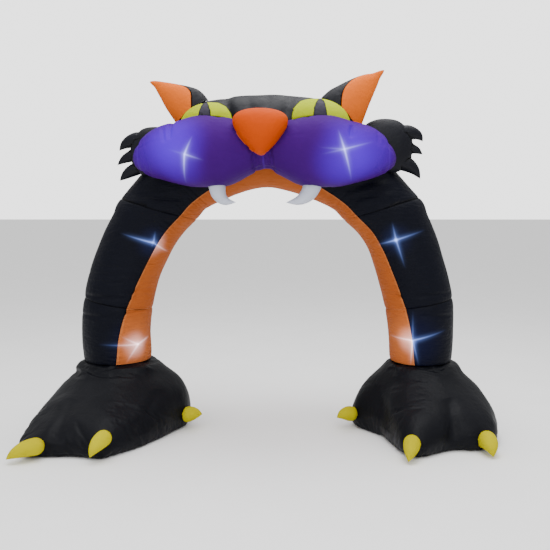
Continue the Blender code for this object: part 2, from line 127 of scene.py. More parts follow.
floor_mesh = bpy.data.meshes.new("floor")
floor_bm = bmesh.new()
bmesh.ops.create_grid(floor_bm, x_segments=1, y_segments=1, size=FLOOR_SIZE / 2)
floor_bm.to_mesh(floor_mesh)
floor_bm.free()
floor = bpy.data.objects.new("floor", floor_mesh)
bpy.context.scene.collection.objects.link(floor)

for lamp in LAMPS:
    light = bpy.data.lights.new(lamp.name, "AREA")
    light.size = lamp.size
    light.energy = lamp.watts
    holder = bpy.data.objects.new(lamp.name, light)
    holder.location = lamp.place
    aim = LAMPS_AIM - lamp.place
    holder.rotation_euler = aim.to_track_quat("-Z", "Y").to_euler()
    bpy.context.scene.collection.objects.link(holder)

world = bpy.data.worlds.new("studio")
world.use_nodes = True
sky = world.node_tree.nodes
way = sky.new("ShaderNodeTexCoord")
height = sky.new("ShaderNodeSeparateXYZ")
room = sky.new("ShaderNodeMapRange")
seen = sky.new("ShaderNodeLightPath")
strength = sky.new("ShaderNodeMix")
room.inputs["To Min"].default_value = EYE_LEVEL_LIGHT
room.inputs["To Max"].default_value = OVERHEAD_LIGHT
strength.inputs["B"].default_value = BACKGROUND
sky["Background"].inputs["Color"].default_value = (1, 1, 1, 1)
join = world.node_tree.links.new
join(way.outputs["Generated"], height.inputs[0])
join(height.outputs["Z"], room.inputs["Value"])
join(room.outputs[0], strength.inputs["A"])
join(seen.outputs["Is Camera Ray"], strength.inputs["Factor"])
join(strength.outputs[0], sky["Background"].inputs["Strength"])
bpy.context.scene.world = world
print(len(LAMPS), "lamps")

# %% [markdown]
# ## From a plain solid to sewn cloth
#
# Each panel's solid is faceted, and its triangles are loose. A copy of it is merged, pairs of
# triangles are joined to squares again, and its sharp edges, which are the seams, get a full
# crease. Subdivision Surface then rounds the panel between its seams and leaves the seams crisp.
# The rims of the head, the nose and the eyes are smooth curves on the real thing, so the little
# steps in theirs are evened out first.

# %% Merge and crease a copy of a solid
MERGE = 0.00005
SQUARE_BEND = radians(40)
SQUARE_SKEW = radians(70)
RIM_ROUNDS = 4
RIM_CORNER = radians(50)
NO_ANGLE = 3


def seam_edges(bm, bend):
    """The edges where two faces meet at more than the bend, in degrees."""
    return [e for e in bm.edges if e.is_manifold and e.calc_face_angle() > radians(bend)]


def even_out(bm, bend):
    """Moves each point of a seam towards the middle of its two neighbours along it."""
    seams = seam_edges(bm, bend)
    for _ in range(RIM_ROUNDS):
        moves = {}
        for vert in {vert for edge in seams for vert in edge.verts}:
            ends = [edge.other_vert(vert).co for edge in vert.link_edges if edge in seams]
            if len(ends) == 2 and (ends[0] - vert.co).angle(vert.co - ends[1], NO_ANGLE) < RIM_CORNER:
                moves[vert] = (ends[0] + ends[1]) / 2 - vert.co
        for vert, move in moves.items():
            vert.co += move / 2


def sewn_copy(name, node, bend, even_rim):
    """An object with the merged mesh of a CAD node, in whole squares and with creased seams."""
    bm = bmesh.new()
    bm.from_mesh(frame["nodes"][node].data)
    bmesh.ops.remove_doubles(bm, verts=bm.verts, dist=MERGE)
    bmesh.ops.dissolve_degenerate(bm, edges=bm.edges, dist=MERGE)
    bmesh.ops.join_triangles(
        bm, faces=bm.faces, angle_face_threshold=SQUARE_BEND, angle_shape_threshold=SQUARE_SKEW
    )
    if even_rim:
        even_out(bm, bend)
    crease = bm.edges.layers.float.new("crease_edge")
    for edge in seam_edges(bm, bend):
        edge[crease] = 1
    mesh = bpy.data.meshes.new(name)
    bm.to_mesh(mesh)
    bm.free()
    obj = bpy.data.objects.new(name, mesh)
    bpy.context.scene.collection.objects.link(obj)
    return obj


# %% [markdown]
# ## Round it without letting it shrink
#
# Subdivision Surface treats a mesh's points as handles and draws the surface in from them, which
# would shrink the part. So the handles are moved out, a few times over, by as much as the surface
# misses the points it should pass through. The finished mesh keeps its first points in the
# order of the handles, so the two are easy to set side by side.

# %% Subdivide through the drawn points
FIT_ROUNDS = 4


def read_points(mesh):
    """The points of a mesh, a row each."""
    places = np.empty(len(mesh.vertices) * 3)
    mesh.vertices.foreach_get("co", places)
    return places.reshape(-1, 3)


def read_facing(mesh):
    """The way that the surface faces at each point, a row each."""
    facing = np.empty(len(mesh.vertices) * 3)
    mesh.vertex_normals.foreach_get("vector", facing)
    return facing.reshape(-1, 3)


def write_points(mesh, places):
    mesh.vertices.foreach_set("co", places.ravel())
    mesh.update()


def finished_mesh(obj):
    """A new mesh of the object as its modifiers leave it."""
    graph = bpy.context.evaluated_depsgraph_get()
    return bpy.data.meshes.new_from_object(obj.evaluated_get(graph))


def round_off(obj, levels):
    """Subdivides the object's mesh so that the surface passes through its old points."""
    drawn = read_points(obj.data)
    handles = drawn.copy()
    smoother = obj.modifiers.new("round", "SUBSURF")
    smoother.levels = smoother.render_levels = levels
    for _ in range(FIT_ROUNDS):
        mesh = finished_mesh(obj)
        handles += drawn - read_points(mesh)[: len(drawn)]
        bpy.data.meshes.remove(mesh)
        write_points(obj.data, handles)
    mesh = finished_mesh(obj)
    obj.modifiers.clear()
    obj.data = mesh


# %% [markdown]
# ## Finer rings along the tube
#
# The puckers beside a tube's long seams run across the tube and are only a few centimetres apart.
# They need many rings along the tube but no more points round it, so only the edges that run
# lengthwise are cut. The tube runs straight up to the knees and then round half a circle, so the
# way along it and the way out of it are both easy to work out for any point.

# %% Cut the lengthwise edges
KNEE_HEIGHT = 0.86
TUBE_RADIUS = (crown_high.y - crown_low.y) / 2
BEND_RADIUS = crown_high.z - TUBE_RADIUS - KNEE_HEIGHT
RING_CUTS = 2
LENGTHWISE = 0.8


def tube_direction(point):
    """The way the tube runs beside a point."""
    rise = point.z - KNEE_HEIGHT
    if rise < 0:
        return Vector((0, 0, 1))
    return Vector((rise, 0, MIDDLE.x - point.x)).normalized()


def out_of_tube(places):
    """The way from the tube's middle line out to each point, square to the line, a row each."""
    out = places - np.array((MIDDLE.x, MIDDLE.y, KNEE_HEIGHT))
    out[:, 2] = np.maximum(out[:, 2], 0)
    spoke = out * (1, 0, 1)
    return out - spoke * BEND_RADIUS / np.linalg.norm(spoke, axis=1, keepdims=True)


def cut_rings(obj):
    """Cuts the edges that run along the tube."""
    bm = bmesh.new()
    bm.from_mesh(obj.data)
    long_edges = []
    for edge in bm.edges:
        start, end = (vert.co for vert in edge.verts)
        along = (end - start).normalized().dot(tube_direction((start + end) / 2))
        if abs(along) > LENGTHWISE:
            long_edges.append(edge)
    bmesh.ops.subdivide_edges(bm, edges=long_edges, cuts=RING_CUTS, use_grid_fill=True)
    bm.to_mesh(obj.data)
    bm.free()


print("tube", round(2 * TUBE_RADIUS, 3), "m thick, bent round", round(BEND_RADIUS, 3), "m")

# %% [markdown]
# ## Sew the head down on the tube
#
# The head lies over the tube like a saddle, and its hem is sewn flat to it. So all cloth that is
# less than a few centimetres above the tube is pulled towards the tube's middle line, the more
# the lower it is. That closes the gap under the edge, and what shows is one clean line where the
# two cloths meet.

# %% Tuck a hem in
TUCK, TUCK_HEIGHT = 0.022, 0.046


def tuck_in(obj):
    """Sinks the lowest cloth of a saddle into the tube that it lies on."""
    places = read_points(obj.data)
    out = out_of_tube(places)
    reach = np.linalg.norm(out, axis=1)
    height = np.clip(reach - TUBE_RADIUS, 0, TUCK_HEIGHT)
    sink = TUCK * (1 - height / TUCK_HEIGHT) ** 2
    write_points(obj.data, places - out * (sink / reach)[:, None])
    print(obj.name, "sinks", round(float(sink.max()), 3), "m into the tube at its hem")


# %% [markdown]
# ## Draw the paws in to the legs
#
# Each paw is gathered to its leg by an elastic hem, so its cloth leaves the leg in a slope and
# not in a ledge. Points near the paw's top that lie outside that slope are drawn in to it, which
# is steeper on the outer side than on the side of the gap.

# %% Hem the paws to the legs
OUTER_SLOPE, GAP_SLOPE = 1.0, 2.6
HEM_EASE = 0.004
HEM_MOST = 0.045
TINY = 0.001


def hem_to_leg(obj, side):
    """Draws the top of a paw in to the leg that stands in it."""
    leg_low, leg_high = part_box("leg_lower_" + side)
    outwards = -1 if side == "left" else 1
    radius = (leg_high.y - leg_low.y) / 2
    outer_x = leg_low.x if side == "left" else leg_high.x
    middle = np.array((outer_x - outwards * radius, (leg_low.y + leg_high.y) / 2))
    places = read_points(obj.data)
    out = places[:, :2] - middle
    reach = np.linalg.norm(out, axis=1)
    outer_share = 0.5 + 0.5 * outwards * out[:, 0] / np.maximum(reach, TINY)
    slope = GAP_SLOPE + (OUTER_SLOPE - GAP_SLOPE) * outer_share
    below = places[:, 2].max() - places[:, 2]
    allowed = radius + HEM_EASE + below * slope
    too_far = np.clip(reach - allowed, 0, HEM_MOST)
    places[:, :2] -= out * (too_far / np.maximum(reach, TINY))[:, None]
    write_points(obj.data, places)
    print(obj.name, "drawn in by up to", round(float(too_far.max()), 3), "m")


# %% [markdown]
# ## Let the big bags find their own wrinkles
#
# The muzzle and the paws are big, loose bags, so they are simulated. The piece is remeshed in
# even squares, set in a little, given more cloth than its form needs and blown up with its seams
# pinned, and the spare cloth wrinkles beside them. The air also pushes the whole form out. That
# broad swelling is found by averaging the moves of neighbouring points over and over, and only a
# little of it is kept, so the piece stays in its solid's place and keeps its wrinkles.

# %% Simulate a bag full of air
FRAMES = 20
AIR_PRESSURE = 4
SPARE_CLOTH = 0.03
SET_IN = 0.004
PINNED = 0.9
QUALITY, CLOTH_MASS, BENDING = 4, 0.15, 0.2
MAX_WRINKLE, MAX_SWELL = 0.012, 0.004
AVERAGING_ROUNDS = 60
NEXT_TO_NOTHING = 1e-9


def averaged(mesh, rows):
    """Every point's row, averaged with its neighbours' rows over and over."""
    ends = np.empty(len(mesh.edges) * 2, dtype=np.int32)
    mesh.edges.foreach_get("vertices", ends)
    first, second = ends.reshape(-1, 2).T
    neighbours = np.bincount(ends, minlength=len(rows))
    for _ in range(AVERAGING_ROUNDS):
        sums = [
            np.bincount(first, part[second], len(rows)) + np.bincount(second, part[first], len(rows))
            for part in rows.T
        ]
        rows = (rows + np.stack(sums, axis=1) / neighbours[:, None]) / 2
    return rows


def limited(moves, most):
    """Moves, with the long ones cut to the most that is allowed."""
    length = np.linalg.norm(moves, axis=1, keepdims=True)
    return moves * np.minimum(1, most / np.maximum(length, NEXT_TO_NOTHING))


def blow_up(obj, tree, voxel):
    """Simulates the piece in even squares of the given size, pinned along its seams."""
    even = obj.modifiers.new("even", "REMESH")
    even.mode = "VOXEL"
    even.voxel_size = voxel
    mesh = finished_mesh(obj)
    obj.modifiers.clear()
    obj.data = mesh
    start = read_points(mesh)
    pins = obj.vertex_groups.new(name="pins")
    pins.add([i for i, place in enumerate(start) if tree.find(place)[2] < voxel * PINNED], 1, "REPLACE")
    write_points(mesh, start - read_facing(mesh) * SET_IN)
    cloth = obj.modifiers.new("cloth", "CLOTH")
    cloth.point_cache.frame_start, cloth.point_cache.frame_end = 1, FRAMES
    cloth.settings.quality = QUALITY
    cloth.settings.mass = CLOTH_MASS
    cloth.settings.bending_stiffness = BENDING
    cloth.settings.use_pressure = True
    cloth.settings.uniform_pressure_force = AIR_PRESSURE
    cloth.settings.shrink_min = -SPARE_CLOTH
    cloth.settings.vertex_group_mass = "pins"
    cloth.settings.effector_weights.gravity = 0
    for frame_number in range(1, FRAMES + 1):
        bpy.context.scene.frame_set(frame_number)
    moves = read_points(finished_mesh(obj)) - start
    obj.modifiers.clear()
    obj.vertex_groups.clear()
    bpy.context.scene.frame_set(1)
    swelling = averaged(mesh, moves)
    end = start + limited(moves - swelling, MAX_WRINKLE) + limited(swelling, MAX_SWELL)
    end[:, 2] = np.maximum(end[:, 2], start[:, 2].min())
    write_points(mesh, end)
    finer = obj.modifiers.new("finer", "SUBSURF")
    finer.levels = finer.render_levels = 1
    mesh = finished_mesh(obj)
    obj.modifiers.clear()
    obj.data = mesh
    deepest = float(abs(moves - swelling).max())
    print(obj.name, "blown up,", len(start), "points, wrinkles to", round(deepest, 3), "m")


# %% [markdown]
# ## Seams and puckers
#
# A seam's thread is shorter than the cloth that it holds. The cloth dips into the seam, and what
# is left over stands in short folds square to it. To find them, points are set along every seam.
# Each point of the cloth looks up its nearest seam point, and a smooth noise read at that seam
# point says whether a fold starts there. All cloth beside one seam point gets the same answer, so
# the fold runs straight away from the seam and fades with distance. Folds are cut inwards only,
# which leaves the bulges between them at full size and keeps clear of the next piece. On the tube
# inwards is straight towards its middle line, so two panels that share a seam move alike there
# and no gap opens between them.
#
# In the table, dip and dip_width are the groove of the seam itself and line is how wide the
# seam's painted colour is drawn (painted shade in the groove on most finishes, a painted highlight
# on a few). pucker, spacing and reach are the depth of the folds, how far apart they stand and how
# long they are. slack is how far the cloth hangs in between seams.

# %% Draw the cloth in along its seams
SEAM_POINT_SPACING = 0.004
Sewing = namedtuple("Sewing", "dip dip_width line pucker spacing reach slack")
SEWING = {
    "tube": Sewing(0.0020, 0.007, 0.0040, 0.0070, 0.034, 0.090, 0.0050),
    "head": Sewing(0.0040, 0.012, 0.0050, 0.0050, 0.060, 0.110, 0.0140),
    "muzzle": Sewing(0.0025, 0.010, 0.0050, 0.0060, 0.040, 0.110, 0.0040),
    "paw": Sewing(0.0020, 0.012, 0.0060, 0.0030, 0.050, 0.080, 0.0120),
    "small": Sewing(0.0015, 0.005, 0.0035, 0.0014, 0.018, 0.050, 0.0030),
    "eye": Sewing(0.0010, 0.004, 0.0060, 0.0000, 0.016, 0.030, 0.0010),
    "horn": Sewing(0.0008, 0.004, 0.0030, 0.0000, 0.016, 0.030, 0.0015),
}
CROSS_SEAM = 0.35
RUNS_ALONG = 0.7
SLACK_SIZE = 0.13
FOLD_SHARPNESS = 3.2
SHORT_OR_LONG = Vector((7, 3, 5))
LENGTHS_SPACING = 2.6
SHORTEST, LONGER = 0.35, 1.3
FARTHEST = 4


def seam_tree(obj, bend, planes=()):
    """A search tree of points along the seams. planes gives extra seams as (point, normal)."""
    bm = bmesh.new()
    bm.from_mesh(obj.data)
    edges = seam_edges(bm, bend)
    for point, normal in planes:
        geom = bm.verts[:] + bm.edges[:] + bm.faces[:]
        cut = bmesh.ops.bisect_plane(bm, geom=geom, plane_co=point, plane_no=normal)["geom_cut"]
        edges += [item for item in cut if isinstance(item, bmesh.types.BMEdge)]
    points = []
    for edge in edges:
        start, end = (vert.co.copy() for vert in edge.verts)
        count = max(1, round((end - start).length / SEAM_POINT_SPACING))
        points += [start.lerp(end, i / count) for i in range(count)]
    bm.free()
    tree = KDTree(len(points))
    for i, point in enumerate(points):
        tree.insert(point, i)
    tree.balance()
    return tree


def valley(value, sharpness):
    """1 where the noise crosses zero, falling smoothly to 0 beside it."""
    share = max(0.0, 1 - abs(value) * sharpness)
    return share * share * (3 - 2 * share)


def crosses(place, seam_point):
    """Whether the way from the seam runs along the tube, so that the seam runs round it."""
    way = Vector(place) - seam_point
    return way.length > 0 and abs(way.normalized().dot(tube_direction(seam_point))) > RUNS_ALONG


def draw_in(obj, tree, sewing, in_tube):
    """Dips the cloth into its seams, puckers it and writes how near each point is to a seam."""
    places = read_points(obj.data)
    facing = out_of_tube(places) if in_tube else read_facing(obj.data)
    if in_tube:
        facing /= np.linalg.norm(facing, axis=1, keepdims=True)
    nearness = np.zeros(len(places))
    depth = np.zeros(len(places))
    for i, place in enumerate(places):
        point, _, distance = tree.find(place)
        pull = CROSS_SEAM if in_tube and crosses(place, point) else 1
        nearness[i] = exp(-((distance / sewing.line) ** 2))
        fold = 0
        if distance < sewing.reach * FARTHEST:
            wander = noise.noise(point / sewing.spacing)
            uneven = abs(noise.noise(point / sewing.spacing / LENGTHS_SPACING + SHORT_OR_LONG))
            lasting = SHORTEST + LONGER * uneven
            fold = valley(wander, FOLD_SHARPNESS) * exp(-distance / sewing.reach / lasting)
            fold *= 1 - exp(-((distance / sewing.dip_width) ** 2))
        slack = 0.5 - 0.5 * noise.noise(Vector(place) / SLACK_SIZE)
        dip = sewing.dip * exp(-distance / sewing.dip_width)
        depth[i] = (dip + sewing.pucker * fold) * pull + sewing.slack * slack
    write_points(obj.data, places - facing * depth[:, None])
    # The nearness is the mask for the painted seam colour: painted shade in the groove on most finishes, a
    # painted highlight on a few.
    attribute = obj.data.attributes.new("seam", "FLOAT", "POINT")
    attribute.data.foreach_set("value", nearness)


# %% [markdown]
# ## Folds in chosen places
#
# Some folds aren't left to chance: the toe grooves on the paws, the slack at the knees, the pull
# under the cheeks, the lumps of the forehead. Each is a soft trough along a short line on the
# front of the piece, as wide as it is in the cloth and deepest at its middle.

# %% Press chosen folds into the front of a piece
Fold = namedtuple("Fold", "x1 z1 x2 z2 width depth")
FOLDS = {
    "muzzle": (
        Fold(-0.560, 2.040, -0.545, 1.900, 0.014, 0.020), Fold(-0.600, 1.990, -0.575, 1.880, 0.012, 0.012),
        Fold(0.530, 1.990, 0.522, 1.905, 0.012, 0.018), Fold(-0.040, 1.830, -0.030, 1.760, 0.010, 0.009),
        Fold(0.000, 1.830, 0.000, 1.745, 0.009, 0.010), Fold(0.040, 1.830, 0.032, 1.765, 0.010, 0.009),
    ),
    "leg_upper_left": (
        Fold(-1.260, 0.925, -0.930, 0.905, 0.014, 0.010), Fold(-1.230, 1.020, -0.880, 1.010, 0.010, 0.005),
        Fold(-1.240, 1.070, -0.900, 1.060, 0.010, 0.005), Fold(-1.200, 1.120, -0.860, 1.115, 0.009, 0.005),
    ),
    "strip_upper_left": (
        Fold(-0.930, 0.950, -0.780, 0.962, 0.012, 0.010),
        Fold(-0.940, 0.900, -0.800, 0.915, 0.010, 0.007),
    ),
    "strip_lower_left": (Fold(-0.990, 0.800, -0.810, 0.835, 0.012, 0.011),),
    "leg_lower_left": (Fold(-1.290, 0.790, -1.010, 0.785, 0.012, 0.008),),
    "leg_upper_right": (Fold(0.960, 0.930, 1.240, 0.945, 0.012, 0.008),),
    "leg_lower_right": (Fold(0.990, 0.800, 1.250, 0.790, 0.012, 0.007),),
    "strip_upper_right": (Fold(0.800, 0.930, 0.930, 0.920, 0.011, 0.008),),
    "crown": (
        Fold(0.500, 1.610, 0.860, 1.730, 0.030, 0.016), Fold(0.520, 1.550, 0.860, 1.640, 0.028, 0.012),
        Fold(0.600, 1.500, 0.900, 1.560, 0.022, 0.008), Fold(-0.940, 1.600, -0.500, 1.560, 0.028, 0.014),
        Fold(-0.900, 1.650, -0.600, 1.615, 0.020, 0.008),
    ),
    "paw_right": (
        Fold(0.735, 0.320, 0.770, 0.080, 0.038, 0.020), Fold(1.160, 0.300, 1.175, 0.070, 0.040, 0.018),
    ),
    "paw_left": (
        Fold(-0.720, 0.310, -0.780, 0.090, 0.036, 0.014), Fold(-1.220, 0.290, -1.250, 0.090, 0.040, 0.014),
    ),
    "head": (
        Fold(-0.265, 2.230, -0.190, 2.000, 0.030, 0.024), Fold(-0.120, 2.220, -0.075, 2.080, 0.020, 0.007),
        Fold(0.020, 2.230, 0.005, 2.110, 0.024, 0.010), Fold(0.165, 2.225, 0.125, 2.060, 0.030, 0.018),
        Fold(0.250, 2.200, 0.210, 2.060, 0.018, 0.008),
    ),
}


def press_folds(obj, folds):
    """Presses each fold into the cloth that faces the front."""
    places = read_points(obj.data)
    facing = read_facing(obj.data)
    depth = np.zeros(len(places))
    for fold in folds:
        start = np.array((fold.x1 + MIDDLE.x, fold.z1))
        line = np.array((fold.x2 + MIDDLE.x, fold.z2)) - start
        flat = places[:, (0, 2)] - start
        share = np.clip(flat @ line / (line @ line), 0, 1)
        distance = np.linalg.norm(flat - share[:, None] * line, axis=1)
        depth += fold.depth * (1 - abs(2 * share - 1) ** 3) * np.exp(-((distance / fold.width) ** 2))
    depth *= np.clip(0.5 - 2 * facing[:, 1], 0, 1)
    write_points(obj.data, places - facing * depth[:, None])


# %% [markdown]
# ## Cloth finishes
#
# All of it is polyester taffeta, a plain weave of fine filament yarn with a thin coating that
# holds the air. Its IOR is that of polyester, 1.57. Dyed dark it is a soft black with a broad
# sheen, and dyed bright it is matt and a little see-through, so it takes light from inside. Hex
# colours are as a screen shows them, so one function turns them to the linear values that a
# shader needs.

# %% Colour and node helpers
POLYESTER_IOR = 1.57


def linear(hex_colour):
    """An sRGB hex colour as linear RGBA."""
    parts = [int(hex_colour[i : i + 2], 16) / 255 for i in (0, 2, 4)]
    return (*(p / 12.92 if p <= 0.04045 else ((p + 0.055) / 1.055) ** 2.4 for p in parts), 1)


def add(tree, kind, inputs=(), **settings):
    """Adds a node with its settings. inputs gives a value or another node's socket to each input."""
    node = tree.nodes.new("ShaderNode" + kind)
    for name, value in settings.items():
        setattr(node, name, value)
    for name, value in dict(inputs).items():
        if isinstance(value, bpy.types.NodeSocket):
            tree.links.new(value, node.inputs[name])
        else:
            node.inputs[name].default_value = value
    return node


# %% [markdown]
# ## Lamps inside the cloth
#
# White LEDs sit inside the legs and the muzzle. Each throws a small bright core, a few thin rays
# and a wide halo on the cloth in front of it, and the halo is blue on black cloth, violet on
# purple and peach on orange. They are drawn in the cloth's own material, as emission by distance
# from the lamp, so they stay in place from every side. For each ray a Vector Rotate node turns
# the pattern until the ray lies along X, and then the ray is bright where Z is near zero. Core
# and rays stop about 10 cm behind the lamp, so none of them reaches the cloth at the back.

# %% Light from one lamp
Ray = namedtuple("Ray", "angle length strength")
Halo = namedtuple("Halo", "x z size strength")
Led = namedtuple("Led", "place halos rays")
LEG_LEDS = (
    Led(at(-0.750, -0.20, 1.274), (Halo(0, 0, 0.16, 0.8), Halo(0, 0, 0.05, 1.2)), (
        Ray(162.6, 0.230, 1.0), Ray(77.6, 0.090, 0.8), Ray(-41.8, 0.130, 0.8),
    )),
    Led(at(-0.877, -0.17, 0.588), (Halo(0, 0, 0.26, 1.0), Halo(0.02, 0.02, 0.09, 2.0)), (
        Ray(176.8, 0.260, 0.7), Ray(145.0, 0.130, 0.8), Ray(39.8, 0.100, 0.8), Ray(-120.4, 0.150, 0.8),
    )),
    Led(at(0.841, -0.22, 1.296), (Halo(0, 0, 0.16, 0.8), Halo(0, 0, 0.05, 1.2)), (
        Ray(103.7, 0.130, 0.8), Ray(-71.6, 0.210, 0.8), Ray(18.5, 0.220, 0.8), Ray(195.9, 0.130, 0.9),
    )),
    Led(at(0.961, -0.18, 0.632), (Halo(0, 0, 0.28, 1.0), Halo(-0.04, 0.02, 0.12, 1.6)), (
        Ray(91.1, 0.220, 0.6), Ray(-75.8, 0.190, 0.8), Ray(-93.0, 0.190, 1.0), Ray(174.9, 0.150, 1.0),
        Ray(17.0, 0.250, 0.9),
    )),
)
MUZZLE_LEDS = (
    Led(at(-0.453, -0.58, 1.812), (Halo(-0.060, 0.085, 0.260, 1.0), Halo(-0.04, -0.06, 0.22, 0.35),
                                   Halo(-0.25, 0.03, 0.24, 0.30), Halo(0, 0, 0.06, 0.5)), (
        Ray(66.3, 0.130, 0.8), Ray(-96.3, 0.180, 0.8), Ray(-17.5, 0.130, 0.6), Ray(163.8, 0.130, 0.3),
    )),
    Led(at(0.484, -0.58, 1.839), (Halo(0.00, -0.050, 0.260, 0.7), Halo(0.155, 0.015, 0.27, 0.52),
                                  Halo(0.00, 0.11, 0.20, 0.30), Halo(0, 0, 0.06, 0.5)), (
        Ray(107.4, 0.140, 0.8), Ray(-74.4, 0.200, 0.8), Ray(15.3, 0.200, 0.6), Ray(176.0, 0.170, 0.4),
        Ray(192.0, 0.160, 0.4),
    )),
)
RAY_WIDTH, RAY_START = 0.0050, 0.004
HAZE_WIDTH, HAZE = 0.018, 0.35
CORE_SIZE, BLOOM_SIZE = 0.020, 0.13
FRONT_DEPTH, FRONT_FADE = 0.10, 1.5


def math(tree, operation, *values):
    """The result of one Math node."""
    return add(tree, "Math", dict(enumerate(values)), operation=operation).outputs[0]


def spot(tree, offset, size, strength):
    """Brightest where the offset is nothing, and dark from a distance of the size."""
    distance = add(tree, "VectorMath", {0: offset}, operation="LENGTH").outputs["Value"]
    span = {0: distance, 1: size, 2: 0, 3: 0, 4: strength}
    return add(tree, "MapRange", span, interpolation_type="SMOOTHERSTEP").outputs[0]


def led_light(tree, where, led, bloom):
    """(core, rays and bloom, halo) of one lamp, as two sockets."""
    offset = add(tree, "VectorMath", {0: where, 1: led.place}, operation="SUBTRACT").outputs[0]
    bright = math(tree, "ADD", spot(tree, offset, CORE_SIZE, 1), spot(tree, offset, BLOOM_SIZE, bloom))
    for ray in led.rays:
        turn = {"Vector": offset, "Axis": (0, 1, 0), "Angle": radians(ray.angle)}
        turned = add(tree, "VectorRotate", turn)
        split = add(tree, "SeparateXYZ", {0: turned.outputs[0]})
        reach = add(tree, "MapRange", {0: split.outputs["X"], 1: ray.length, 2: 0, 3: 0, 4: ray.strength})
        start = add(tree, "MapRange", {0: split.outputs["X"], 1: -RAY_START, 2: RAY_START, 3: 0, 4: 1})
        square = math(tree, "MULTIPLY", split.outputs["Z"], split.outputs["Z"])
        line = math(tree, "EXPONENT", math(tree, "MULTIPLY", square, -1 / RAY_WIDTH**2))
        haze = math(tree, "EXPONENT", math(tree, "MULTIPLY", square, -1 / HAZE_WIDTH**2))
        beam = math(tree, "ADD", line, math(tree, "MULTIPLY", haze, HAZE))
        squared = math(tree, "MULTIPLY", reach.outputs[0], reach.outputs[0])
        fade = math(tree, "MULTIPLY", squared, start.outputs[0])
        bright = math(tree, "ADD", bright, math(tree, "MULTIPLY", beam, fade))
    split = add(tree, "SeparateXYZ", {0: offset})
    behind = {0: split.outputs["Y"], 1: FRONT_DEPTH * FRONT_FADE, 2: FRONT_DEPTH, 3: 0, 4: 1}
    front = add(tree, "MapRange", behind)
    glow = 0
    for halo in led.halos:
        shift = {0: offset, 1: (halo.x, 0, halo.z)}
        moved = add(tree, "VectorMath", shift, operation="SUBTRACT").outputs[0]
        glow = math(tree, "ADD", spot(tree, moved, halo.size, halo.strength), glow)
    return math(tree, "MULTIPLY", bright, front.outputs[0]), glow


# %% [markdown]
# ## Taffeta
#
# One function makes every colour of the cloth. The weave has about 30 threads to the centimetre,
# far too fine to show, so it is drawn as coarse ribs 3 mm apart. A wave texture repeats every
# 0.314 m at a scale of 1, so its scale is that length over the ribs' spacing. Over the ribs lie
# crinkles a few centimetres wide, which break up the sheen, and on the tube also flat creases
# that run across. The coating on the inside leaves the cloth smooth and a little shiny, and the
# black of the head, the ears and the tufts is the shiniest.
# Patches where the dye took a little more or less vary the colour. Along each seam the colour is
# painted: painted shade in the seam's groove on most cloths, a painted highlight along the seam on
# the orange, nose and purple cloth, and a dark rim round the eyes and the pupils.

# %% A taffeta material
RIB_SPACING, RIB_DEPTH, RIB_STRENGTH = 0.003, 0.0004, 0.12
WAVE_LENGTH = 0.314
CRINKLE_SIZE, CRINKLE_DEPTH = 0.045, 0.007
CREASE_LENGTH, CREASE_HEIGHT, CREASE_DEPTH = 0.070, 0.016, 0.012
PATCH_SIZE = 0.35
Glow = namedtuple("Glow", "halo halo_power glint glint_power bloom leds")
# seam is the colour painted along the seams: painted shade, darker than the cloth, in the grooves of the
# black, ear, white and yellow cloth; a painted highlight, paler, on the orange, nose and purple cloth; a
# dark rim on the lime eyes and the grey pupils.
Taffeta = namedtuple("Taffeta", "colour shade seam roughness shine glow creases", defaults=(None, 0))
FINISHES = {
    "black_taffeta": Taffeta("0d0e14", "07080c", "030304", 0.45, 0.08),
    "black_satin_taffeta": Taffeta("11121a", "090a10", "030304", 0.48, 0.12),
    "black_lit_taffeta": Taffeta(
        "0e1019", "090a12", "030305", 0.50, 0.05,
        Glow("2040ff", 0.025, "86a4ff", 1.6, 0.015, LEG_LEDS), 0.55,
    ),
    "orange_taffeta": Taffeta(
        "b05c26", "94481a", "b86c3a", 0.60, 0.05,
        Glow("ff9c68", 0.20, "ffe4f0", 1.8, 0.26, LEG_LEDS), 0.9,
    ),
    "ear_orange_taffeta": Taffeta("dc6c1c", "bc5412", "7c3c10", 0.60, 0.05),
    "nose_orange_taffeta": Taffeta("bc4600", "ac3a00", "c45a20", 0.55, 0.03),
    "purple_taffeta": Taffeta(
        "3e086a", "320456", "4c1c94", 0.60, 0.03,
        Glow("5400ff", 0.85, "b0baff", 2.6, 0.02, MUZZLE_LEDS),
    ),
    "lime_taffeta": Taffeta("aab80c", "8c9a06", "0a0b04", 0.60, 0.03),
    "grey_taffeta": Taffeta("2c2935", "262330", "0a0a0d", 0.55, 0.10),
    "white_taffeta": Taffeta("c3c8d6", "b8bccc", "80848e", 0.55, 0.10),
    "yellow_taffeta": Taffeta("c4bc00", "9c8e00", "a89400", 0.60, 0.01),
}


